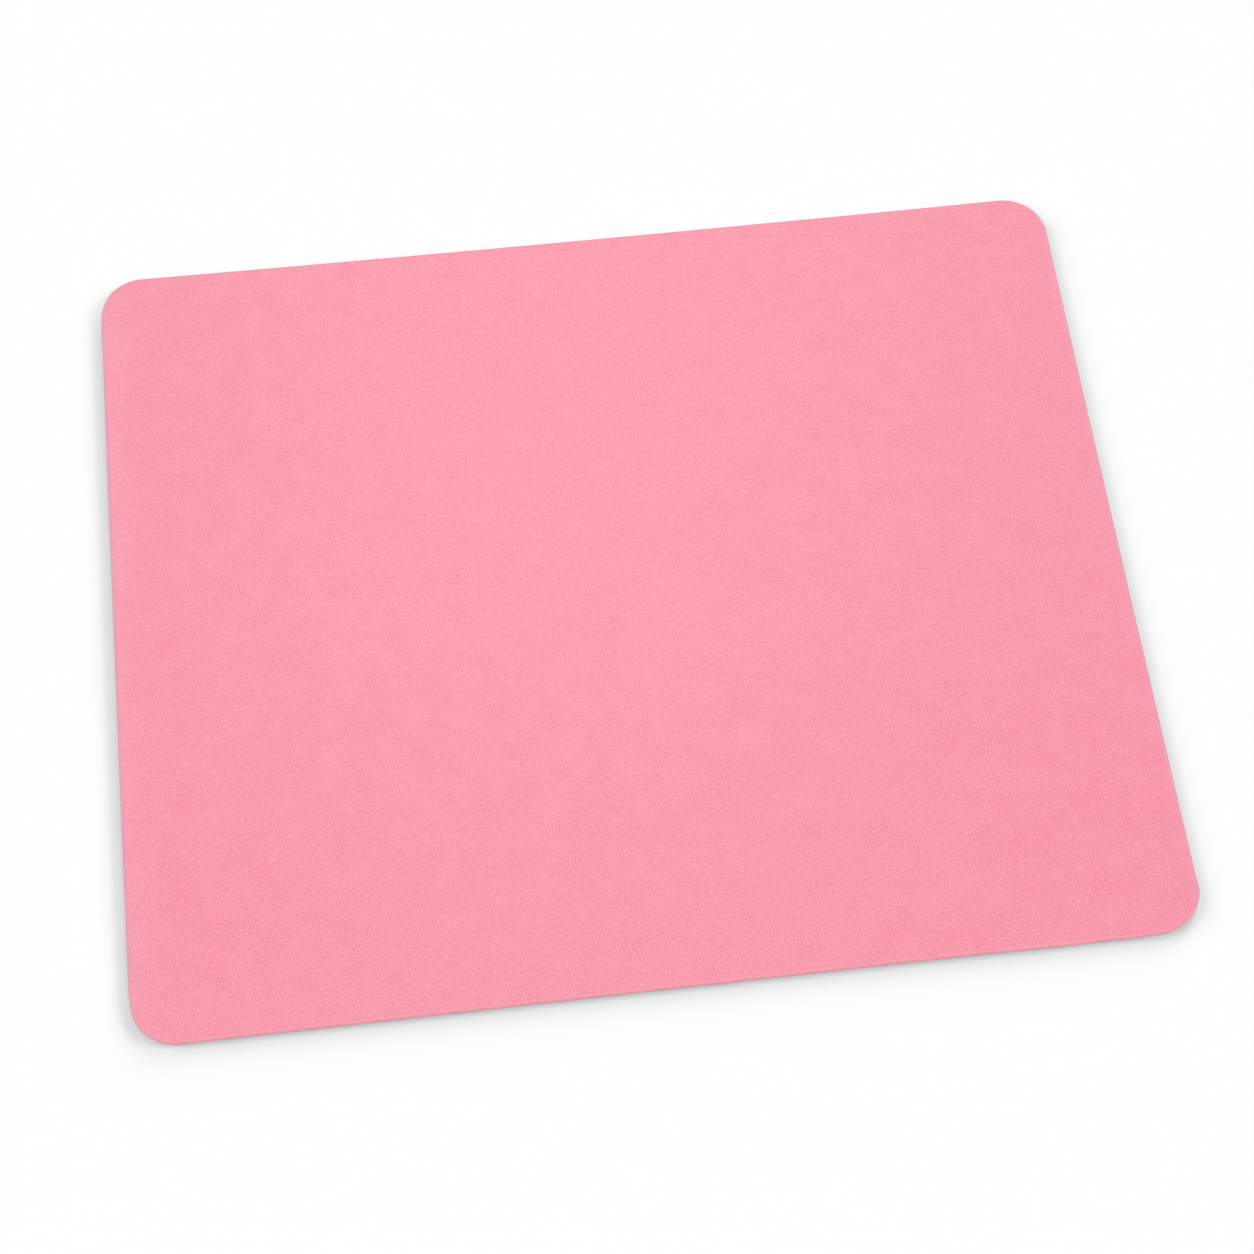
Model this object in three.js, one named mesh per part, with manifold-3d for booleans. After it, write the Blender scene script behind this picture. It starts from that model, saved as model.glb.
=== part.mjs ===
// A plain mouse pad, built as the real one is laminated: a rubber base, a foam core and a coated
// cloth face, bonded by two hot-melt films, die-cut in one stroke and coated round the cut edge.
// Millimetres. +X runs along the long side, -Y faces the user and +Z is up. The origin is the
// centre of the underside.

import * as THREE from "three";
import { mergeVertices } from "three/addons/utils/BufferGeometryUtils.js";
import Module from "manifold-3d";

// The finished pad, measured over its edge coat
const PAD_WIDTH = 240;
const PAD_DEPTH = 200;
const PAD_CORNER_RADIUS = 10;
const CORNER_ARC_DIVISIONS = 6;

// The sheets of the laminate, from the underside up
const GRIP_BASE_THICKNESS = 0.7;
const LOWER_FILM_THICKNESS = 0.08;
const FOAM_CORE_THICKNESS = 0.5;
const UPPER_FILM_THICKNESS = 0.08;
const BACKING_CLOTH_THICKNESS = 0.34;
const LEATHER_FACE_THICKNESS = 0.3;

// The die drags the face's top edge down as it cuts, which leaves a small round
const DIE_ROLL_WIDTH = 0.16;
const DIE_ROLL_DROP = 0.06;
const DIE_ROLL_STEPS = 3;

// The coat round the cut edge: a bead with a domed outside
const COAT_CROWN_THICKNESS = 0.26;
const COAT_LIP_THICKNESS = 0.16;
const COAT_SEAT_CLEARANCE = 0.04;
const COAT_BARE_BASE_HEIGHT = 0.16;
const COAT_DOME_STEPS = 8;

// The non-slip relief of the underside: wavy grooves side by side, inside a flat border, which run
// out to nothing at their ends
const GROOVE_BORDER = 11;
const GROOVE_PITCH = 8;
const GROOVE_WIDTH = 1.8;
const GROOVE_DEPTH = 0.25;
const GROOVE_WAVELENGTH = 27;
const GROOVE_SWAY = 2.2;
const GROOVE_RUN_OUT = 6;
const GROOVE_STEPS_PER_WAVE = 8;

// How far a cutter runs past the face that it cuts
const CUT_OVERRUN = 0.5;

// Heights at which one sheet ends and the next begins
const BASE_TOP = GRIP_BASE_THICKNESS;
const LOWER_FILM_TOP = BASE_TOP + LOWER_FILM_THICKNESS;
const CORE_TOP = LOWER_FILM_TOP + FOAM_CORE_THICKNESS;
const UPPER_FILM_TOP = CORE_TOP + UPPER_FILM_THICKNESS;
const CLOTH_TOP = UPPER_FILM_TOP + BACKING_CLOTH_THICKNESS;
const FACE_TOP = CLOTH_TOP + LEATHER_FACE_THICKNESS;

// The die's cut line lies inside the finished outline by the coat and its clearance
const CUT_INSET = COAT_CROWN_THICKNESS + COAT_SEAT_CLEARANCE;

const QUARTER_TURN = Math.PI / 2;

const wasm = await Module();
wasm.setup();

// The pad's rounded outline, moved in by inset, as points that run anticlockwise seen from above
function outlinePoints(inset) {
  const halfWidth = PAD_WIDTH / 2 - inset;
  const halfDepth = PAD_DEPTH / 2 - inset;
  const radius = PAD_CORNER_RADIUS - inset;
  const quadrants = [
    [1, 1],
    [-1, 1],
    [-1, -1],
    [1, -1],
  ];
  const outline = new THREE.Path();
  quadrants.forEach(([alongX, alongY], turn) => {
    outline.absarc(
      alongX * (halfWidth - radius),
      alongY * (halfDepth - radius),
      radius,
      turn * QUARTER_TURN,
      (turn + 1) * QUARTER_TURN,
    );
  });
  return outline.getPoints(CORNER_ARC_DIVISIONS);
}

// The triangles between neighbouring rings of points, and from the last ring to the first if closed
function wallTriangles(ringCount, ringSize, closed) {
  const triangles = [];
  const stripCount = closed ? ringCount : ringCount - 1;
  for (let ring = 0; ring < stripCount; ring += 1) {
    const here = ring * ringSize;
    const next = ((ring + 1) % ringCount) * ringSize;
    for (let i = 0; i < ringSize; i += 1) {
      const j = (i + 1) % ringSize;
      triangles.push(here + i, here + j, next + j);
      triangles.push(here + i, next + j, next + i);
    }
  }
  return triangles;
}

// The triangles of the flat faces at the first ring, looking down, and at the last, looking up
function capTriangles(outline, ringCount) {
  const lastRing = (ringCount - 1) * outline.length;
  return THREE.ShapeUtils.triangulateShape(outline, []).flatMap(([a, b, c]) => [
    a,
    c,
    b,
    lastRing + a,
    lastRing + b,
    lastRing + c,
  ]);
}

// A solid through the pad's outline at each station, an inset and a height, listed so that the
// outside is passed on the way up. A closed run makes a ring, and an open one is capped flat.
function throughStations(stations, closed = false) {
  const rings = stations.map(({ inset }) => outlinePoints(inset));
  const positions = rings.flatMap((ring, i) =>
    ring.flatMap((point) => [point.x, point.y, stations[i].height]),
  );
  const triangles = wallTriangles(rings.length, rings[0].length, closed);
  if (!closed) triangles.push(...capTriangles(rings[0], rings.length));
  return new THREE.BufferGeometry()
    .setAttribute("position", new THREE.Float32BufferAttribute(positions, 3))
    .setIndex(triangles);
}

// A flat sheet of the laminate, cut on the die's line
function sheetGeometry(bottom, top) {
  return throughStations([
    { inset: CUT_INSET, height: bottom },
    { inset: CUT_INSET, height: top },
  ]);
}

// The face: flat underneath, with its top edge rolled down by the die in a quarter of an ellipse
function leatherFaceGeometry() {
  const stations = [{ inset: CUT_INSET, height: CLOTH_TOP }];
  for (let step = 0; step <= DIE_ROLL_STEPS; step += 1) {
    const angle = (step / DIE_ROLL_STEPS) * QUARTER_TURN;
    stations.push({
      inset: CUT_INSET + DIE_ROLL_WIDTH * (1 - Math.cos(angle)),
      height: FACE_TOP - DIE_ROLL_DROP * (1 - Math.sin(angle)),
    });
  }
  return throughStations(stations);
}

// The edge coat: a ring whose flat side faces the cut edge and whose outside is a low dome. It
// starts just above the underside and ends where the face's rolled edge begins.
function edgeCoatGeometry() {
  const bottom = COAT_BARE_BASE_HEIGHT;
  const top = FACE_TOP - DIE_ROLL_DROP;
  const middle = (bottom + top) / 2;
  const domeRise = COAT_CROWN_THICKNESS - COAT_LIP_THICKNESS;
  const stations = [{ inset: COAT_CROWN_THICKNESS, height: bottom }];
  for (let step = 0; step <= COAT_DOME_STEPS; step += 1) {
    const angle = ((2 * step) / COAT_DOME_STEPS - 1) * QUARTER_TURN;
    stations.push({
      inset: domeRise * (1 - Math.cos(angle)),
      height: middle + ((top - bottom) / 2) * Math.sin(angle),
    });
  }
  stations.push({ inset: COAT_CROWN_THICKNESS, height: top });
  return throughStations(stations, true);
}

// The course of one groove along the underside: whole waves, centred on the pad. It sinks at an even
// slope over each run-out and a little further, so that a cutter on it leaves the base there.
class GrooveCourse extends THREE.Curve {
  constructor(centreY, waveCount) {
    super();
    this.centreY = centreY;
    this.reach = (waveCount * GROOVE_WAVELENGTH) / 2;
  }

  getPoint(share, target = new THREE.Vector3()) {
    const x = (2 * share - 1) * (this.reach + CUT_OVERRUN);
    const phase = (2 * Math.PI * x) / GROOVE_WAVELENGTH;
    const pastStraight = Math.max(0, Math.abs(x) - this.reach + GROOVE_RUN_OUT);
    const sink = (GROOVE_DEPTH * pastStraight) / GROOVE_RUN_OUT;
    return target.set(x, this.centreY + GROOVE_SWAY * Math.sin(phase), -sink);
  }

  // A section drawn on this course stays upright, with its first axis down and its second level
  computeFrenetFrames(steps) {
    const down = new THREE.Vector3(0, 0, -1);
    const tangents = [];
    for (let step = 0; step <= steps; step += 1) tangents.push(this.getTangentAt(step / steps));
    return {
      tangents,
      normals: tangents.map(() => down),
      binormals: tangents.map((tangent) => tangent.clone().cross(down).normalize()),
    };
  }
}

// A closed geometry as a solid that can be cut
function solidFrom(geometry) {
  const bare = geometry.clone();
  bare.deleteAttribute("normal");
  bare.deleteAttribute("uv");
  const merged = mergeVertices(bare);
  return new wasm.Manifold(
    new wasm.Mesh({
      numProp: 3,
      vertProperties: merged.attributes.position.array,
      triVerts: new Uint32Array(merged.index.array),
    }),
  );
}

// A cut solid as a geometry again
function geometryFrom(solid) {
  const mesh = solid.getMesh();
  return new THREE.BufferGeometry()
    .setAttribute("position", new THREE.BufferAttribute(mesh.vertProperties, 3))
    .setIndex(new THREE.BufferAttribute(mesh.triVerts, 1));
}

// The cutter of one groove: a V that is as wide as the groove at the underside, on a straight shank
// below it. The section is drawn with its first axis down and its second across the course.
function grooveCutter(centreY, waveCount) {
  const section = new THREE.Shape([
    new THREE.Vector2(-GROOVE_DEPTH, 0),
    new THREE.Vector2(0, -GROOVE_WIDTH / 2),
    new THREE.Vector2(CUT_OVERRUN, -GROOVE_WIDTH / 2),
    new THREE.Vector2(CUT_OVERRUN, GROOVE_WIDTH / 2),
    new THREE.Vector2(0, GROOVE_WIDTH / 2),
  ]);
  return new THREE.ExtrudeGeometry(section, {
    steps: waveCount * GROOVE_STEPS_PER_WAVE,
    extrudePath: new GrooveCourse(centreY, waveCount),
  });
}

// The base sheet, with as many whole waves and rows of grooves as its flat border leaves room for
function gripBaseGeometry() {
  const fieldWidth = PAD_WIDTH - 2 * GROOVE_BORDER;
  const fieldDepth = PAD_DEPTH - 2 * (GROOVE_BORDER + GROOVE_SWAY) - GROOVE_WIDTH;
  const waveCount = Math.floor(fieldWidth / GROOVE_WAVELENGTH);
  const grooveCount = Math.floor(fieldDepth / GROOVE_PITCH) + 1;
  const firstY = (-(grooveCount - 1) * GROOVE_PITCH) / 2;
  let base = solidFrom(sheetGeometry(0, BASE_TOP));
  for (let groove = 0; groove < grooveCount; groove += 1) {
    const cutter = grooveCutter(firstY + groove * GROOVE_PITCH, waveCount);
    base = base.subtract(solidFrom(cutter));
  }
  return geometryFrom(base);
}

function material(color, roughness) {
  return new THREE.MeshStandardMaterial({ color, roughness, metalness: 0 });
}

function piece(name, geometry, finish) {
  const mesh = new THREE.Mesh(geometry, finish);
  mesh.name = name;
  return mesh;
}

const pinkSkin = material("#faa0b2", 0.62);
const pinkCoat = material("#f89bae", 0.55);
const paleCloth = material("#f3dcdf", 0.95);
const clearFilm = material("#efe9e2", 0.4);
const whiteFoam = material("#f1eeea", 0.9);
const charcoalRubber = material("#2b2a2c", 0.85);

const mousePad = new THREE.Group();
mousePad.add(
  piece("grip_base", gripBaseGeometry(), charcoalRubber),
  piece("lower_bond_film", sheetGeometry(BASE_TOP, LOWER_FILM_TOP), clearFilm),
  piece("foam_core", sheetGeometry(LOWER_FILM_TOP, CORE_TOP), whiteFoam),
  piece("upper_bond_film", sheetGeometry(CORE_TOP, UPPER_FILM_TOP), clearFilm),
  piece("backing_cloth", sheetGeometry(UPPER_FILM_TOP, CLOTH_TOP), paleCloth),
  piece("leather_face", leatherFaceGeometry(), pinkSkin),
  piece("edge_coat", edgeCoatGeometry(), pinkCoat),
);

export default mousePad;
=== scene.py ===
"""The look of the mouse pad: the sheets of its laminate, their finishes, the light and the camera.

Metres, as in the frame: +X runs along the long side, -Y faces the user and +Z is up.
"""

import math
from collections import namedtuple

import bpy
import numpy as np
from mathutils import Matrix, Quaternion, Vector, noise


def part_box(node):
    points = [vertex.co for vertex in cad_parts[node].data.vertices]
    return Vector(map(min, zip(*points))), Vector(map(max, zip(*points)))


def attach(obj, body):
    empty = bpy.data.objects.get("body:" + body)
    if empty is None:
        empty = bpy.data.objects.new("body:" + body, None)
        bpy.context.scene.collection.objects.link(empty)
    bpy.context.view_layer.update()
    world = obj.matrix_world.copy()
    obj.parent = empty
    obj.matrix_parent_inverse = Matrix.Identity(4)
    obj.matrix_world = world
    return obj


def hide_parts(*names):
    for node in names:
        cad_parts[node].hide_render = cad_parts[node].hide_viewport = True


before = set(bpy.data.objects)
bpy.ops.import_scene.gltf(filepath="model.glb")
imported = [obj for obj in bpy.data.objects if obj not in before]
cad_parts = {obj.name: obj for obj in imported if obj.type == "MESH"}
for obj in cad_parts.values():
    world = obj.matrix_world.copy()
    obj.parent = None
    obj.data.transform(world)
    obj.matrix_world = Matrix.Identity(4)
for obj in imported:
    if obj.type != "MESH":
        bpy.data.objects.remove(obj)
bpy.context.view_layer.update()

# Where the frame has each sheet of the laminate
COAT_LOW, COAT_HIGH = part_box("edge_coat")
FACE_LOW, FACE_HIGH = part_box("leather_face")
CLOTH_LOW, CLOTH_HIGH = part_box("backing_cloth")
UPPER_FILM_LOW, UPPER_FILM_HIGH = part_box("upper_bond_film")
CORE_LOW, CORE_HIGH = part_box("foam_core")
LOWER_FILM_LOW, LOWER_FILM_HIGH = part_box("lower_bond_film")
BASE_LOW, BASE_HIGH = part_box("grip_base")

# The finished outline, and the die's cut line inside it
HALF_WIDTH = COAT_HIGH.x
HALF_DEPTH = COAT_HIGH.y
CORNER_RADIUS = 0.0106
CUT_INSET = COAT_HIGH.x - FACE_HIGH.x
CUT_HALF_WIDTH = HALF_WIDTH - CUT_INSET
CUT_HALF_DEPTH = HALF_DEPTH - CUT_INSET
CUT_RADIUS = CORNER_RADIUS - CUT_INSET

# The cut pad relaxes a little: each side bows, outward at its ends where the bow is positive
BACK_BOW = 0.0006
FRONT_BOW = 0.00017
RIGHT_BOW = 0.00018
LEFT_BOW = -0.00011
# Taken off a side's square-law bow, so that the side's mean place stays
BOW_MEAN_SHARE = 1 / 3

# Spacing of the grid lines on the face and on the sheets under it
FACE_PITCH = 0.0012
INNER_PITCH = 0.0025

# The face: its rolled edge and its slow rise and fall
DIE_ROLL_WIDTH = 0.00016
DIE_ROLL_DROP = FACE_HIGH.z - COAT_HIGH.z
DIE_ROLL_STEPS = 4
# A grid line just inside the roll, which keeps the roll's shading off the flat
ROLL_GUARD = 0.0002
FACE_SWELL = 0.00003
FACE_SWELL_SIZE = 0.016
FACE_SWELL_SEED = 1.7

# The edge coat: a full bead that laps over the face's rolled edge and thins out there
COAT_PITCH = 0.0004
COAT_STEPS = 9
COAT_FOOT_INSET = 0.00016
COAT_FULLNESS = 8
COAT_LAP = 0.00008
COAT_FEATHER = 0.000008
COAT_WANDER = 0.00003
COAT_WANDER_SIZE = 0.0045
COAT_WANDER_SEED = 4.2

# Where the coated outline stands proud or falls short: specks of dried coat on the front edge, and the
# uneven corners. The places are shares of half the cut width and depth.
Flaw = namedtuple("Flaw", "x_share y_share reach rise")
FLAWS = (
    Flaw(-0.382, -1, 0.0005, 0.00022),
    Flaw(0.094, -1, 0.0005, 0.00022),
    Flaw(0.854, -1, 0.0005, 0.00022),
    Flaw(0.708, -1, 0.010, 0.00018),
    Flaw(1, -0.93, 0.004, 0.0002),
    Flaw(0.94, -0.995, 0.004, -0.0002),
    Flaw(-1, -0.915, 0.003, -0.00018),
    Flaw(-0.99, -0.955, 0.003, 0.00014),
    Flaw(1, 0.932, 0.004, -0.00017),
    Flaw(-1, 0.93, 0.004, -0.00015),
)

# The foam's cut edge draws in between the two films
CORE_DRAW_IN = 0.00012

# The non-slip relief of the underside: wavy grooves side by side, inside a flat border
GROOVE_BORDER = 0.011
GROOVE_PITCH = 0.008
GROOVE_WIDTH = 0.0018
GROOVE_DEPTH = 0.00025
GROOVE_WAVELENGTH = 0.027
GROOVE_SWAY = 0.0022
GROOVE_END_TAPER = 0.006
GROOVE_COLUMNS_PER_WAVE = 16
# Grid lines on either side of a groove's middle, as shares of half its width
GROOVE_ROW_SHARES = (0.25, 0.5, 0.75, 1.0, 1.25)
BORDER_LINES = 8

# Two faces that meet at more than this angle meet in a sharp edge
SHARP_ANGLE = math.radians(40)

QUARTER_TURN = math.pi / 2

# The camera, fitted to the pad's outline in the photograph
CAMERA_AZIMUTH = math.radians(-8.763)
CAMERA_ELEVATION = math.radians(63.36)
CAMERA_ROLL = math.radians(2.022)
CAMERA_DISTANCE = 0.62935
CAMERA_AIM = Vector((0.00004, -0.00966, 0))
CAMERA_LENS_MM = 76.38
CAMERA_SENSOR_MM = 36

WHITE = (1, 1, 1, 1)

# The light: what the open floor sends back, and the softboxes that share it out. Each softbox has
# its tilt from overhead, its azimuth from +Y towards +X, its radius as seen from the pad, and its share.
FLOOR_ALBEDO = 0.8
FLOOR_RADIANCE = 0.989
FLOOR_LIGHT = FLOOR_RADIANCE * math.pi / FLOOR_ALBEDO
FLOOR_SIZE = 6.0
FLOOR_GAP = 0.00001
FLOOR_ROUGHNESS = 1.0
Softbox = namedtuple("Softbox", "name tilt azimuth radius share")
SOFTBOXES = (
    Softbox("overhead", math.radians(21), math.radians(-177.6), math.radians(25.5), 0.37),
    Softbox("top", math.radians(30), math.radians(4), math.radians(6), 0.064),
    Softbox("back", math.radians(69), math.radians(27.5), math.radians(15), 0.135),
    Softbox("right", math.radians(60.8), math.radians(88.6), math.radians(12.7), 0.161),
    Softbox("left", math.radians(58.6), math.radians(-71.6), math.radians(21.8), 0.25),
)
# The side softboxes are polarised, so that they throw no glare on the pad
POLARISED = ("right", "left")
FILL_SHARE = 0.02
# A card in front, as a share of the floor's light. It lights the pad's front rim, and just grazes its
# face, but doesn't light the floor.
CARD_TILT = math.radians(86)
CARD_AZIMUTH = math.radians(180)
CARD_RADIUS = math.radians(12)
CARD_SHARE = 0.52

# The range that holds most values of a cloudy noise, and its middle
NOISE_SPAN = (0.3, 0.7)
NOISE_MIDDLE = 0.5
# The pitch of the ribs in Blender's wave texture at a scale of 1
WAVE_TEXTURE_PITCH = math.pi / 10

# The face's finish: a grain of fine pores and wavy strands, stretched towards the back and calmer in
# patches, whose light and dark tones are partly its own and partly painted shade in its creases and painted
# sheen on its ridges, with mottling, greyer clouds, bright specks and a paler, less saturated band beside
# each short side, wider on the left
SKIN_LIGHT = (0.858, 0.337, 0.408)
SKIN_DARK = (0.69, 0.187, 0.269)
SKIN_GREYED = (0.72, 0.291, 0.362)
SKIN_SPECK = (0.9, 0.44, 0.51)
# A paler, less saturated band beside each short side, wider on the left
SKIN_PALE_SIDES = (0.68, 0.342, 0.382)
LEFT_PALE_WIDTH = 0.008
RIGHT_PALE_WIDTH = 0.002
PALE_SIDE_SHARE = 0.25
SKIN_ROUGHNESS_LOW = 0.33
SKIN_ROUGHNESS_HIGH = 0.37
PORE_SIZE = 0.0003
STRAND_SIZE = 0.0004
STRAND_DISTORTION = 0.8
# How far the noise that a strand follows may lie from its middle value
STRAND_SPREAD = 0.1
STRAND_SHARE = 0.35
GRAIN_STRETCH_SHARES = (1.0, 0.6, 1.0)
CALM_PATCH_SIZE = 0.002
CALM_SHARE = 0.25
CALM_TONE = 0.5
GRAIN_HEIGHT = 0.000006
# Above 1, this keeps the light part of the grain thin
GRAIN_TONE_POWER = 1.5
MOTTLE_SIZE = 0.005
MOTTLE_DETAIL = 3.0
MOTTLE_SHARE = 0.05
GREYING_SIZE = 0.007
GREYING_SHARE = 0.24
SPECK_SPACING = 0.006
SPECK_RADIUS = 0.00023
SPECK_MISSING_SHARE = 0.35

# The coat's finish, with painted shade that makes its shoulder darker and greyer except along the front
PAINT_LIGHT = (0.79, 0.276, 0.358)
PAINT_DARK = (0.75, 0.235, 0.313)
PAINT_SHADED = (0.63, 0.282, 0.358)
SHADED_SHOULDER_HEIGHT = 0.0003
UNSHADED_FRONT_WIDTH = 0.008
PAINT_ROUGHNESS = 0.5
PAINT_CLOUD_SIZE = 0.004
PAINT_CLOUD_DETAIL = 2.0
PAINT_BUMP_SIZE = 0.0007
PAINT_BUMP_DETAIL = 3.0
PAINT_BUMP_HEIGHT = 0.00001

# The finishes of the sheets under the face
CLOTH_LIGHT = (0.93, 0.78, 0.8)
CLOTH_DARK = (0.78, 0.58, 0.61)
CLOTH_ROUGHNESS = 0.9
CLOTH_YARN_PITCH = 0.0005
CLOTH_YARN_HEIGHT = 0.00005
CLOTH_FUZZ_DETAIL = 4.0
CLOTH_FUZZ_SHARE = 0.5
FILM_LIGHT = (0.88, 0.85, 0.8)
FILM_DARK = (0.8, 0.75, 0.69)
FILM_ROUGHNESS = 0.35
FILM_CLOUD_SIZE = 0.005
FILM_CLOUD_DETAIL = 3.0
FILM_STREAK_SIZE = 0.0012
FILM_STREAK_DETAIL = 2.0
FILM_STREAK_HEIGHT = 0.000008
FOAM_LIGHT = (0.9, 0.88, 0.85)
FOAM_DARK = (0.72, 0.69, 0.65)
FOAM_ROUGHNESS = 0.92
FOAM_CELL_SIZE = 0.0004
FOAM_CELL_DEPTH = 0.00006
RUBBER_LIGHT = (0.034, 0.033, 0.036)
RUBBER_DARK = (0.017, 0.0165, 0.018)
RUBBER_ROUGHNESS = 0.72
RUBBER_CLOUD_SIZE = 0.012
RUBBER_CLOUD_DETAIL = 4.0
RUBBER_GRAIN_SIZE = 0.00035
RUBBER_GRAIN_DETAIL = 2.0
RUBBER_GRAIN_HEIGHT = 0.00002


def grid_places(half, pitch, rim_insets=(0,)):
    """Places of the grid lines across a sheet: one at each inset from its rim, and even ones between."""
    inner = half - rim_insets[-1]
    count = round(2 * inner / pitch)
    rim = half - np.array(rim_insets[:-1])
    return np.concatenate([-rim, np.linspace(-inner, inner, count + 1), rim[::-1]])


def round_corners(x, y):
    """Turns the square corners of a die-cut grid into round ones: grid lines become arcs there."""
    reach_x = np.maximum(np.abs(x) - (CUT_HALF_WIDTH - CUT_RADIUS), 0)
    reach_y = np.maximum(np.abs(y) - (CUT_HALF_DEPTH - CUT_RADIUS), 0)
    reach = np.maximum(reach_x, reach_y)
    corner = (reach_x > 0) & (reach_y > 0)
    slant = np.divide(np.minimum(reach_x, reach_y), reach, out=np.zeros_like(reach), where=corner)
    angle = slant * QUARTER_TURN / 2
    angle = np.where(reach_x >= reach_y, angle, QUARTER_TURN - angle)
    round_x = np.sign(x) * (CUT_HALF_WIDTH - CUT_RADIUS + reach * np.cos(angle))
    round_y = np.sign(y) * (CUT_HALF_DEPTH - CUT_RADIUS + reach * np.sin(angle))
    return np.where(corner, round_x, x), np.where(corner, round_y, y)


def relax(x, y):
    """Bows the sides as the cut pad has relaxed. The shift fades to nothing at the middle."""
    along_x = (x / HALF_WIDTH) ** 2 - BOW_MEAN_SHARE
    along_y = (y / HALF_DEPTH) ** 2 - BOW_MEAN_SHARE
    shift_x = along_y * np.where(x > 0, RIGHT_BOW, LEFT_BOW) * x / HALF_WIDTH
    shift_y = along_x * np.where(y > 0, BACK_BOW, FRONT_BOW) * y / HALF_DEPTH
    return x + shift_x, y + shift_y


class SheetGrid:
    """The grid of a die-cut sheet, square to start with, and the inset of each point from its rim."""

    def __init__(self, xs, ys):
        self.x, self.y = np.meshgrid(xs, ys)
        self.inset = np.minimum(CUT_HALF_WIDTH - np.abs(self.x), CUT_HALF_DEPTH - np.abs(self.y))

    def points(self, height, sway=0):
        """The grid's points at a height, after moving along Y by the sway. Both may vary over the grid."""
        x, y = round_corners(self.x, self.y + sway)
        x, y = relax(x, y)
        return np.stack([x, y, np.broadcast_to(height, x.shape)], axis=-1)


def even_grid(pitch, rim_insets=(0,)):
    """A grid with even spacing inside its rim."""
    return SheetGrid(
        grid_places(CUT_HALF_WIDTH, pitch, rim_insets),
        grid_places(CUT_HALF_DEPTH, pitch, rim_insets),
    )


def point_numbers(grid_points):
    """The number of each point of a grid, laid out as the grid is."""
    rows, columns = grid_points.shape[:2]
    return np.arange(rows * columns).reshape(rows, columns)


def rim_numbers(numbers):
    """Numbers of a grid's outer points, anticlockwise seen from above."""
    return np.concatenate([numbers[0, :-1], numbers[:-1, -1], numbers[-1, :0:-1], numbers[:0:-1, 0]])


def grid_faces(numbers):
    """A grid's four-sided faces, looking up."""
    corners = [numbers[:-1, :-1], numbers[:-1, 1:], numbers[1:, 1:], numbers[1:, :-1]]
    return np.stack(corners, axis=-1).reshape(-1, 4)


def wall_faces(lower, upper):
    """Four-sided faces between two closed rings of point numbers, looking outward."""
    return np.stack([lower, np.roll(lower, -1), np.roll(upper, -1), upper], axis=-1)


def make_piece(name, node, points, faces, finish):
    """A smooth mesh that rides on the pad's one body and stands for a node of the frame. It throws
    no pink light on the floor, because the photograph's shadows are a neutral grey."""
    mesh = bpy.data.meshes.new(name)
    mesh.from_pydata(points.tolist(), [], faces.tolist())
    mesh.shade_smooth()
    mesh.set_sharp_from_angle(angle=SHARP_ANGLE)
    mesh.materials.append(finish)
    piece = bpy.data.objects.new(name, mesh)
    bpy.context.scene.collection.objects.link(piece)
    piece.visible_diffuse = False
    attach(piece, "root")
    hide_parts(node)
    return piece


def make_sheet(name, node, bottom, top, finish, waists=()):
    """A closed sheet between two grids of points, with rings of points round its side if it has any."""
    numbers = point_numbers(top)
    rim = rim_numbers(numbers)
    rings = [rim]
    points = [bottom.reshape(-1, 3), top.reshape(-1, 3)]
    for waist in waists:
        rings.append(sum(len(part) for part in points) + np.arange(len(rim)))
        points.append(waist)
    rings.append(rim + numbers.size)
    faces = [grid_faces(numbers)[:, ::-1], grid_faces(numbers) + numbers.size]
    faces += [wall_faces(lower, upper) for lower, upper in zip(rings, rings[1:])]
    return make_piece(name, node, np.concatenate(points), np.concatenate(faces), finish)


def cloudy(points, size, seed):
    """A smooth random value from about -1 to 1 at each point, which varies over the given size."""
    places = points.reshape(-1, points.shape[-1]) / size
    values = [noise.noise(Vector((x, y, seed))) for x, y in places[:, :2]]
    return np.array(values).reshape(points.shape[:-1])


def roll_height(inset):
    """The height of the face at an inset from its rim: a quarter of an ellipse, then flat."""
    left = 1 - np.clip(inset / DIE_ROLL_WIDTH, 0, 1)
    return FACE_HIGH.z - DIE_ROLL_DROP * (1 - np.sqrt(1 - left**2))


def make_leather_face(finish):
    """The face: flat underneath, rolled down at its rim, with a slow rise and fall on top."""
    turns = [step / DIE_ROLL_STEPS * QUARTER_TURN for step in range(DIE_ROLL_STEPS + 1)]
    insets = [DIE_ROLL_WIDTH * (1 - math.cos(turn)) for turn in turns]
    grid = even_grid(FACE_PITCH, insets + [DIE_ROLL_WIDTH + ROLL_GUARD])
    calm = np.clip((grid.inset - DIE_ROLL_WIDTH) / CORNER_RADIUS, 0, 1)
    sink = FACE_SWELL * calm * (1 - cloudy(grid.points(0), FACE_SWELL_SIZE, FACE_SWELL_SEED)) / 2
    top = grid.points(roll_height(grid.inset) - sink)
    return make_sheet("leather_skin", "leather_face", grid.points(FACE_LOW.z), top, finish)


def make_flat_sheet(name, node, low, high, finish):
    """A sheet of even thickness under the face."""
    grid = even_grid(INNER_PITCH)
    return make_sheet(name, node, grid.points(low.z), grid.points(high.z), finish)


def outward(points):
    """The direction square to the outline at each point on it."""
    core = np.array([CUT_HALF_WIDTH - CUT_RADIUS, CUT_HALF_DEPTH - CUT_RADIUS])
    arm = points - np.clip(points, -core, core)
    return arm / np.linalg.norm(arm, axis=-1, keepdims=True)


def make_foam_core(finish):
    """The foam, whose cut edge draws in half way up between the films."""
    grid = even_grid(INNER_PITCH)
    bottom, top = grid.points(CORE_LOW.z), grid.points(CORE_HIGH.z)
    rim = rim_numbers(point_numbers(top))
    waist = (bottom.reshape(-1, 3)[rim] + top.reshape(-1, 3)[rim]) / 2
    waist[:, :2] -= CORE_DRAW_IN * outward(waist[:, :2])
    return make_sheet("foam_cushion", "foam_core", bottom, top, finish, [waist])


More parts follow.
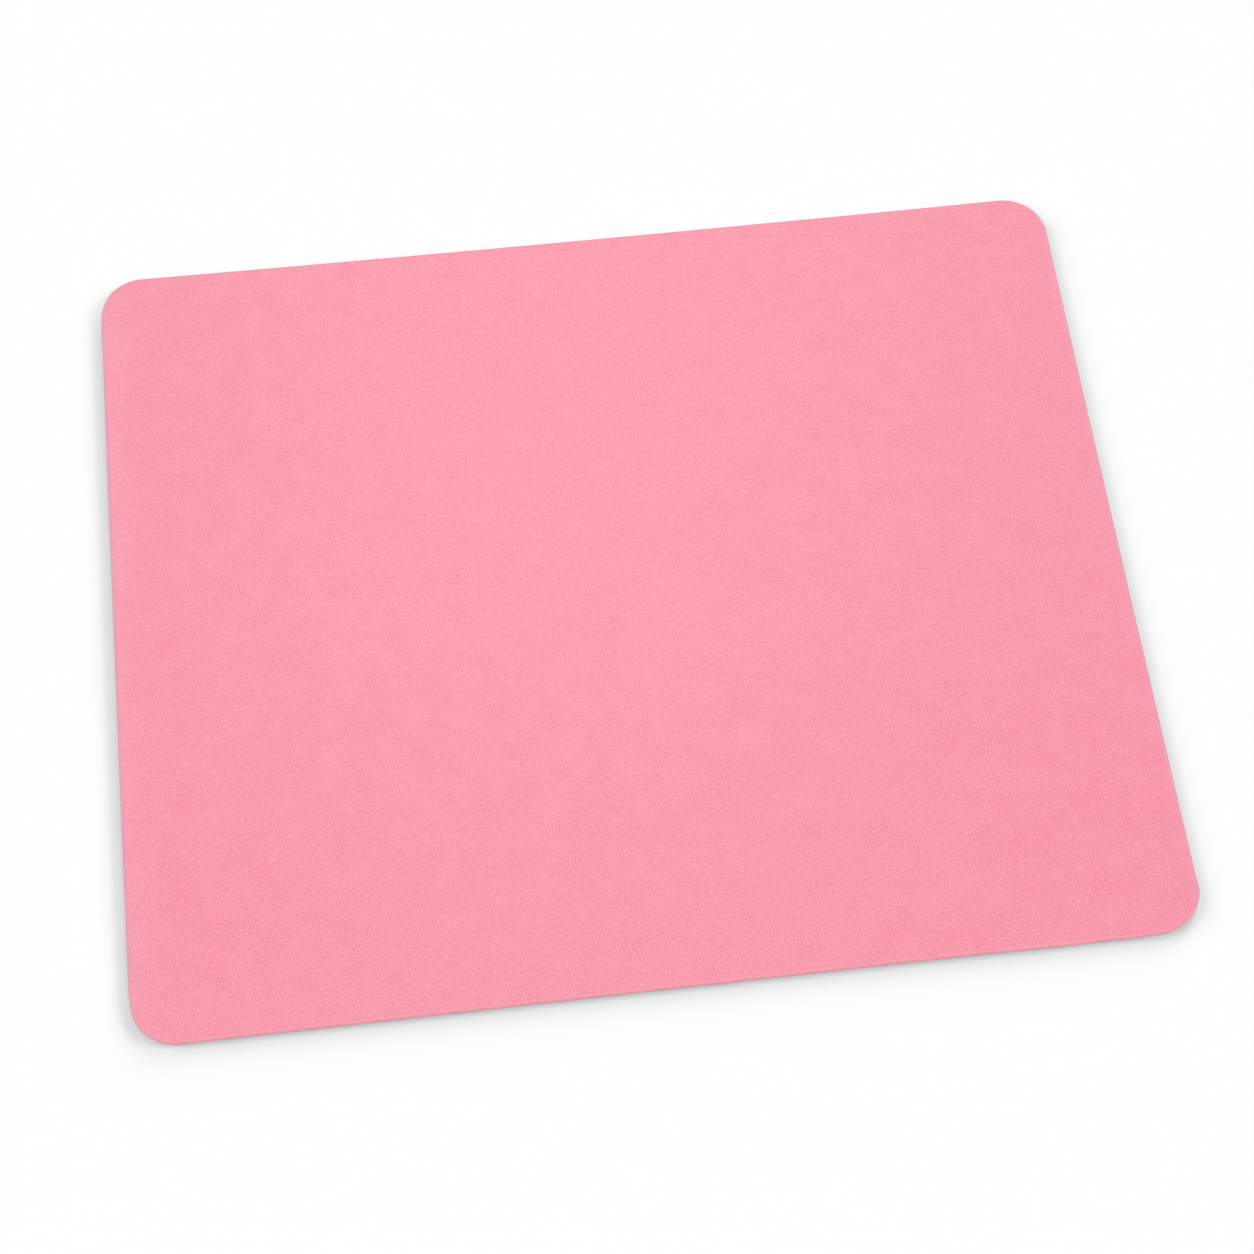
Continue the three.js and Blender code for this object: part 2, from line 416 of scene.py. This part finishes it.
def cut_line(pitch):
    """Points on the die's cut line before it relaxes, anticlockwise from the right-hand side's middle."""
    core_x, core_y = CUT_HALF_WIDTH - CUT_RADIUS, CUT_HALF_DEPTH - CUT_RADIUS
    turns = np.arange(0, QUARTER_TURN, pitch / CUT_RADIUS)
    arc = CUT_RADIUS * np.stack([np.cos(turns), np.sin(turns)], axis=-1)
    side_y = np.arange(0, core_y, pitch)
    side_x = np.arange(core_x, 0, -pitch)
    right = np.stack([np.full(side_y.shape, CUT_HALF_WIDTH), side_y], axis=-1)
    back = np.stack([side_x, np.full(side_x.shape, CUT_HALF_DEPTH)], axis=-1)
    quarter = np.concatenate([right, arc + (core_x, core_y), back])
    mirrored = quarter[::-1] * (-1, 1)
    half = np.concatenate([quarter, mirrored])
    return np.concatenate([half, -half])


def coat_section():
    """The coat's section, as insets from the finished outline and heights: up its domed outside,
    over the face's rolled edge, and down along the cut edge."""
    crown = (COAT_LOW.z + COAT_HIGH.z) / 2
    lap_top = float(roll_height(COAT_LAP)) + COAT_FEATHER
    turns = [step / COAT_STEPS * QUARTER_TURN for step in range(COAT_STEPS + 1)]
    power = 2 / COAT_FULLNESS
    bulge = [(1 - math.cos(turn) ** power, math.sin(turn) ** power) for turn in turns]
    foot = [(COAT_FOOT_INSET * back, crown - (crown - COAT_LOW.z) * rise) for back, rise in reversed(bulge)]
    lap_inset = CUT_INSET + COAT_LAP
    dome = [(lap_inset * back, crown + (lap_top - crown) * rise) for back, rise in bulge[1:]]
    laps = [COAT_LAP * step / DIE_ROLL_STEPS for step in range(DIE_ROLL_STEPS, -1, -1)]
    lap = [(CUT_INSET + inset, float(roll_height(inset))) for inset in laps]
    return [(CUT_INSET, COAT_LOW.z)] + foot + dome + lap


def coat_swell(line):
    """How far the coat's outside stands proud along the cut line: a slow wander, and the flaws."""
    swell = COAT_WANDER * cloudy(line, COAT_WANDER_SIZE, COAT_WANDER_SEED)
    for flaw in FLAWS:
        place = np.array([flaw.x_share * CUT_HALF_WIDTH, flaw.y_share * CUT_HALF_DEPTH])
        away = np.linalg.norm(line - place, axis=-1)
        swell += flaw.rise * np.exp(-((away / flaw.reach) ** 2))
    return swell


def make_edge_coat(finish):
    """The coat, as the rings that its section's points draw round the pad."""
    line = cut_line(COAT_PITCH)
    facing = outward(line)
    swell = coat_swell(line)
    numbers = np.arange(len(line))
    section = coat_section()
    points, faces = [], []
    for i, (inset, height) in enumerate(section):
        proud = CUT_INSET - inset
        proud += swell * np.clip(proud / CUT_INSET, 0, 1)
        x, y = relax(*(line + facing * np.reshape(proud, (-1, 1))).T)
        points.append(np.stack([x, y, np.full(x.shape, height)], axis=-1))
        here = numbers + i * len(line)
        following = numbers + (i + 1) % len(section) * len(line)
        faces.append(wall_faces(here, following))
    return make_piece("edge_bead", "edge_coat", np.concatenate(points), np.concatenate(faces), finish)


def groove_middles():
    """Where the grooves run: as many rows as the flat border leaves room for, either side of the middle."""
    field = 2 * (HALF_DEPTH - GROOVE_BORDER - GROOVE_SWAY) - GROOVE_WIDTH
    count = int(field / GROOVE_PITCH) + 1
    return (np.arange(count) - (count - 1) / 2) * GROOVE_PITCH


def groove_reach():
    """Half the length of a groove, which is a whole number of waves."""
    waves = int(2 * (HALF_WIDTH - GROOVE_BORDER) / GROOVE_WAVELENGTH)
    return waves * GROOVE_WAVELENGTH / 2


def base_grid(middles, reach):
    """A grid with lines along each groove and evenly down its waves, and a few in the flat border."""
    shares = np.array(GROOVE_ROW_SHARES)
    across = np.concatenate([-shares[::-1], [0], shares]) * GROOVE_WIDTH / 2
    rows = (middles[:, None] + across).reshape(-1)
    border_rows = np.linspace(rows[-1], CUT_HALF_DEPTH, BORDER_LINES)[1:]
    column_count = round(2 * reach / GROOVE_WAVELENGTH) * GROOVE_COLUMNS_PER_WAVE + 1
    border_columns = np.linspace(reach, CUT_HALF_WIDTH, BORDER_LINES)[1:]
    columns = np.linspace(-reach, reach, column_count)
    return SheetGrid(
        np.concatenate([-border_columns[::-1], columns, border_columns]),
        np.concatenate([-border_rows[::-1], rows, border_rows]),
    )


def make_grip_base(finish):
    """The rubber base, with wavy grooves pressed into its underside that run out at their ends."""
    middles = groove_middles()
    reach = groove_reach()
    grid = base_grid(middles, reach)
    straight_y = CUT_HALF_DEPTH - CUT_RADIUS
    outer_groove = middles[-1] + GROOVE_WIDTH
    fade = np.clip((straight_y - np.abs(grid.y)) / (straight_y - outer_groove), 0, 1)
    phase = 2 * math.pi * grid.x / GROOVE_WAVELENGTH
    sway = GROOVE_SWAY * np.sin(phase) * fade * (np.abs(grid.x) < reach)
    away = np.abs(grid.y[..., None] - middles).min(axis=-1)
    across = np.clip(2 * away / GROOVE_WIDTH, 0, 1)
    along = np.clip((reach - np.abs(grid.x)) / GROOVE_END_TAPER, 0, 1)
    cut = GROOVE_DEPTH * along * (1 + np.cos(math.pi * across)) / 2
    bottom = grid.points(BASE_LOW.z + cut, sway)
    return make_sheet("rubber_base", "grip_base", bottom, grid.points(BASE_HIGH.z, sway), finish)


class Finish:
    """A procedural material, built up by short calls for the textures and mixes that finishes share."""

    def __init__(self, name, roughness):
        self.material = bpy.data.materials.new(name)
        self.material.use_nodes = True
        self.tree = self.material.node_tree
        self.surface = self.tree.nodes["Principled BSDF"]
        self.surface.inputs["Roughness"].default_value = roughness
        self.place = self.add("ShaderNodeTexCoord").outputs["Object"]

    def add(self, kind, links=(), **settings):
        """A node with its settings, whose sockets are linked or set by name or number."""
        node = self.tree.nodes.new(kind)
        for key, value in settings.items():
            setattr(node, key, value)
        for key, value in dict(links).items():
            if isinstance(value, bpy.types.NodeSocket):
                self.tree.links.new(value, node.inputs[key])
            else:
                node.inputs[key].default_value = value
        return node

    def stretch(self, shares):
        """Stretches the textures made after this, whose places are squeezed by a share along each axis."""
        scaled = self.add("ShaderNodeVectorMath", {0: self.place, 1: shares}, operation="MULTIPLY")
        self.place = scaled.outputs["Vector"]

    def clouds(self, size, detail=0.0, distortion=0.0, seen="3D"):
        """Smooth noise around a half, whose blotches have about the given size."""
        links = {"Vector": self.place, "Scale": 1 / size, "Detail": detail, "Distortion": distortion}
        return self.add("ShaderNodeTexNoise", links, noise_dimensions=seen).outputs["Fac"]

    def cells(self, size):
        """Points scattered about one size apart: the distance to the nearest, in sizes, and its colour."""
        return self.add("ShaderNodeTexVoronoi", {"Vector": self.place, "Scale": 1 / size}).outputs

    def specks(self, spacing, radius, missing):
        """Round specks seen from above, 1 at their middle, of which a share is left out at random."""
        links = {"Vector": self.place, "Scale": 1 / spacing}
        spots = self.add("ShaderNodeTexVoronoi", links, voronoi_dimensions="2D").outputs
        near = self.remap(spots["Distance"], radius / spacing, 0.0)
        return self.maths("MULTIPLY", near, self.maths("GREATER_THAN", spots["Color"], missing))

    def blend(self, share, first, second):
        """A value between two: the first where the share is 0, and the second where it is 1. The sockets
        go by number, because a mix has its sockets for values and for colours under the same names."""
        return self.add("ShaderNodeMix", {0: share, 2: first, 3: second}).outputs[0]

    def ribs(self, pitch, axis):
        """Even round ribs with the given pitch along an axis."""
        links = {"Vector": self.place, "Scale": WAVE_TEXTURE_PITCH / pitch}
        return self.add("ShaderNodeTexWave", links, bands_direction=axis).outputs["Fac"]

    def along(self, axis):
        """A point's place along an axis of the pad."""
        return self.add("ShaderNodeSeparateXYZ", {"Vector": self.place}).outputs[axis]

    def maths(self, operation, first, second=0.0):
        """A sum of two values, or another operation on them."""
        return self.add("ShaderNodeMath", {0: first, 1: second}, operation=operation).outputs["Value"]

    def remap(self, value, low, high, to_low=0.0, to_high=1.0):
        """A value from one range in another, and held at its ends."""
        links = {"Value": value, "From Min": low, "From Max": high, "To Min": to_low, "To Max": to_high}
        return self.add("ShaderNodeMapRange", links).outputs["Result"]

    def strands(self, size, distortion, spread):
        """Wavy threads, 1 along their middle, which follow the half-way line of a cloudy noise."""
        cloud = self.clouds(size, distortion=distortion, seen="2D")
        away = self.maths("ABSOLUTE", self.maths("SUBTRACT", cloud, NOISE_MIDDLE))
        return self.remap(away, 0.0, spread, 1.0, 0.0)

    def mix(self, share, first, second):
        """A colour between two, each a plain colour or a socket."""
        links = {0: share}
        for key, value in ((6, first), (7, second)):
            links[key] = value if isinstance(value, bpy.types.NodeSocket) else (*value, 1)
        return self.add("ShaderNodeMix", links, data_type="RGBA").outputs[2]

    def set(self, name, value):
        """Links a texture to one of the surface's inputs."""
        self.tree.links.new(value, self.surface.inputs[name])

    def raise_by(self, value, height):
        """Raises the surface by a texture, whose 0 to 1 spans the height."""
        bump = self.add("ShaderNodeBump", {"Height": value, "Distance": height})
        self.set("Normal", bump.outputs["Normal"])


def pink_leather():
    """Coated leather cloth: pores and wavy strands of grain, whose dark and light tones are partly its own
    and partly painted shade in the creases and painted sheen on the ridges, mottling, greyer clouds and
    bright specks. It is paler and less saturated beside the two short sides."""
    finish = Finish("pink coated leather", SKIN_ROUGHNESS_LOW)
    mottle = finish.remap(finish.clouds(MOTTLE_SIZE, MOTTLE_DETAIL), *NOISE_SPAN, -MOTTLE_SHARE, MOTTLE_SHARE)
    greying = finish.remap(finish.clouds(GREYING_SIZE, MOTTLE_DETAIL), *NOISE_SPAN, 0.0, GREYING_SHARE)
    specks = finish.specks(SPECK_SPACING, SPECK_RADIUS, SPECK_MISSING_SHARE)
    across = finish.along("X")
    # A paler, less saturated band beside each short side, wider on the left
    pale_left = finish.remap(across, LEFT_PALE_WIDTH - HALF_WIDTH, -HALF_WIDTH, 0.0, PALE_SIDE_SHARE)
    pale_right = finish.remap(across, HALF_WIDTH - RIGHT_PALE_WIDTH, HALF_WIDTH, 0.0, PALE_SIDE_SHARE)
    pale_sides = finish.maths("MAXIMUM", pale_left, pale_right)
    finish.stretch(GRAIN_STRETCH_SHARES)
    pores = finish.remap(finish.clouds(PORE_SIZE, seen="2D"), *NOISE_SPAN)
    grain = finish.blend(STRAND_SHARE, pores, finish.strands(STRAND_SIZE, STRAND_DISTORTION, STRAND_SPREAD))
    calm = finish.remap(finish.clouds(CALM_PATCH_SIZE), *NOISE_SPAN, 0.0, CALM_SHARE)
    grain = finish.blend(calm, grain, CALM_TONE)
    tone = finish.maths("POWER", grain, GRAIN_TONE_POWER)
    # The grain's dark and light tones: partly its own, partly painted shade in its creases and painted sheen
    # on its ridges
    leather = finish.mix(finish.maths("ADD", tone, mottle), SKIN_DARK, SKIN_LIGHT)
    leather = finish.mix(greying, leather, SKIN_GREYED)
    leather = finish.mix(pale_sides, leather, SKIN_PALE_SIDES)
    finish.set("Base Color", finish.mix(specks, leather, SKIN_SPECK))
    finish.set("Roughness", finish.remap(grain, 0.0, 1.0, SKIN_ROUGHNESS_HIGH, SKIN_ROUGHNESS_LOW))
    finish.raise_by(grain, GRAIN_HEIGHT)
    return finish.material


def pink_paint():
    """Edge paint: a satin film with faint clouds and a slightly uneven skin. Painted shade makes its
    shoulder darker and greyer, but not along the front."""
    finish = Finish("pink edge paint", PAINT_ROUGHNESS)
    shoulder = finish.remap(finish.along("Z"), COAT_HIGH.z - SHADED_SHOULDER_HEIGHT, COAT_HIGH.z)
    away_from_front = finish.remap(finish.along("Y"), -HALF_DEPTH, UNSHADED_FRONT_WIDTH - HALF_DEPTH)
    paint = finish.mix(finish.clouds(PAINT_CLOUD_SIZE, PAINT_CLOUD_DETAIL), PAINT_DARK, PAINT_LIGHT)
    # Painted shade: the shoulder darker and greyer everywhere but along the front
    paint = finish.mix(finish.maths("MULTIPLY", shoulder, away_from_front), paint, PAINT_SHADED)
    finish.set("Base Color", paint)
    finish.raise_by(finish.clouds(PAINT_BUMP_SIZE, PAINT_BUMP_DETAIL), PAINT_BUMP_HEIGHT)
    return finish.material


def woven_cloth():
    """Carrier cloth: two sets of yarns that cross."""
    finish = Finish("pale carrier cloth", CLOTH_ROUGHNESS)
    weave = finish.maths("MAXIMUM", finish.ribs(CLOTH_YARN_PITCH, "X"), finish.ribs(CLOTH_YARN_PITCH, "Y"))
    fuzz = finish.clouds(CLOTH_YARN_PITCH, CLOTH_FUZZ_DETAIL)
    shade = finish.blend(CLOTH_FUZZ_SHARE, weave, fuzz)
    finish.set("Base Color", finish.mix(shade, CLOTH_DARK, CLOTH_LIGHT))
    finish.raise_by(shade, CLOTH_YARN_HEIGHT)
    return finish.material


def melt_film():
    """Hot-melt film: satin, a little cloudy, with fine streaks from the roll."""
    finish = Finish("hot-melt film", FILM_ROUGHNESS)
    haze = finish.clouds(FILM_CLOUD_SIZE, FILM_CLOUD_DETAIL)
    finish.set("Base Color", finish.mix(haze, FILM_DARK, FILM_LIGHT))
    finish.raise_by(finish.clouds(FILM_STREAK_SIZE, FILM_STREAK_DETAIL), FILM_STREAK_HEIGHT)
    return finish.material


def fine_foam():
    """Foam: fine round cells."""
    finish = Finish("white foam", FOAM_ROUGHNESS)
    wall = finish.cells(FOAM_CELL_SIZE)["Distance"]
    finish.set("Base Color", finish.mix(wall, FOAM_DARK, FOAM_LIGHT))
    finish.raise_by(wall, FOAM_CELL_DEPTH)
    return finish.material


def charcoal_rubber():
    """Rubber: near black, dull, with a fine pebbled grain and a faint bloom in clouds."""
    finish = Finish("charcoal rubber", RUBBER_ROUGHNESS)
    bloom = finish.clouds(RUBBER_CLOUD_SIZE, RUBBER_CLOUD_DETAIL)
    finish.set("Base Color", finish.mix(bloom, RUBBER_DARK, RUBBER_LIGHT))
    finish.raise_by(finish.clouds(RUBBER_GRAIN_SIZE, RUBBER_GRAIN_DETAIL), RUBBER_GRAIN_HEIGHT)
    return finish.material


def make_floor():
    """A pale matte floor just under the pad."""
    bpy.ops.mesh.primitive_plane_add(size=FLOOR_SIZE, location=(0, 0, BASE_LOW.z - FLOOR_GAP))
    floor = bpy.context.active_object
    floor.name = "floor"
    finish = Finish("pale floor", FLOOR_ROUGHNESS)
    finish.surface.inputs["Base Color"].default_value = (FLOOR_ALBEDO, FLOOR_ALBEDO, FLOOR_ALBEDO, 1)
    finish.surface.inputs["Specular IOR Level"].default_value = 0.0
    floor.data.materials.append(finish.material)


def make_lamp(name, tilt, azimuth, radius, strength):
    """A distant disc of light, whose strength is what a surface that faces it receives."""
    lamp = bpy.data.lights.new(name, "SUN")
    lamp.angle = 2 * radius
    lamp.energy = strength
    holder = bpy.data.objects.new(name, lamp)
    bpy.context.scene.collection.objects.link(holder)
    level = Vector((math.sin(azimuth), math.cos(azimuth), 0)) * math.sin(tilt)
    towards = level + Vector((0, 0, math.cos(tilt)))
    holder.rotation_mode = "QUATERNION"
    holder.rotation_quaternion = towards.to_track_quat("Z", "Y")
    return holder


def make_softboxes():
    """The softboxes, which together bring the open floor to its radiance."""
    for box in SOFTBOXES:
        strength = box.share * FLOOR_LIGHT / math.cos(box.tilt)
        lamp = make_lamp(box.name, box.tilt, box.azimuth, box.radius, strength)
        lamp.visible_glossy = box.name not in POLARISED


def make_front_card(pieces):
    """The card that lights the pad's front rim, and leaves the floor and its shadows as they are."""
    card = make_lamp("front", CARD_TILT, CARD_AZIMUTH, CARD_RADIUS, CARD_SHARE * FLOOR_LIGHT)
    lit = bpy.data.collections.new("lit_by_card")
    for piece in pieces:
        lit.objects.link(piece)
    card.light_linking.receiver_collection = lit


def make_world():
    """A weak fill from all round, behind which the camera sees the floor's own white."""
    world = bpy.data.worlds.new("studio")
    bpy.context.scene.world = world
    world.use_nodes = True
    nodes, links = world.node_tree.nodes, world.node_tree.links
    fill = nodes["Background"]
    fill.inputs["Color"].default_value = WHITE
    fill.inputs["Strength"].default_value = FILL_SHARE * FLOOR_RADIANCE / FLOOR_ALBEDO
    backdrop = nodes.new("ShaderNodeBackground")
    backdrop.inputs["Color"].default_value = WHITE
    backdrop.inputs["Strength"].default_value = FLOOR_RADIANCE
    path = nodes.new("ShaderNodeLightPath")
    mix = nodes.new("ShaderNodeMixShader")
    links.new(path.outputs["Is Camera Ray"], mix.inputs["Fac"])
    links.new(fill.outputs["Background"], mix.inputs[1])
    links.new(backdrop.outputs["Background"], mix.inputs[2])
    links.new(mix.outputs["Shader"], nodes["World Output"].inputs["Surface"])


def make_camera():
    """The camera, at the photograph's viewing angle."""
    data = bpy.data.cameras.new("camera")
    data.lens = CAMERA_LENS_MM
    data.sensor_width = CAMERA_SENSOR_MM
    camera = bpy.data.objects.new("camera", data)
    bpy.context.scene.collection.objects.link(camera)
    back = Vector((
        math.sin(CAMERA_AZIMUTH) * math.cos(CAMERA_ELEVATION),
        -math.cos(CAMERA_AZIMUTH) * math.cos(CAMERA_ELEVATION),
        math.sin(CAMERA_ELEVATION),
    ))
    camera.location = CAMERA_AIM + back * CAMERA_DISTANCE
    camera.rotation_mode = "QUATERNION"
    level = (-back).to_track_quat("-Z", "Y")
    camera.rotation_quaternion = level @ Quaternion((0, 0, 1), CAMERA_ROLL)
    bpy.context.scene.camera = camera


def make_pad():
    """The laminate from the underside up, and the coat round its edge."""
    film = melt_film()
    base = make_grip_base(charcoal_rubber())
    lower_film = make_flat_sheet("film_lower", "lower_bond_film", LOWER_FILM_LOW, LOWER_FILM_HIGH, film)
    foam = make_foam_core(fine_foam())
    upper_film = make_flat_sheet("film_upper", "upper_bond_film", UPPER_FILM_LOW, UPPER_FILM_HIGH, film)
    cloth = make_flat_sheet("cloth_backing", "backing_cloth", CLOTH_LOW, CLOTH_HIGH, woven_cloth())
    face = make_leather_face(pink_leather())
    coat = make_edge_coat(pink_paint())
    make_front_card([face, coat])


make_camera()
make_floor()
make_softboxes()
make_world()
make_pad()
bpy.context.scene.view_settings.view_transform = "Standard"

bpy.context.view_layer.update()
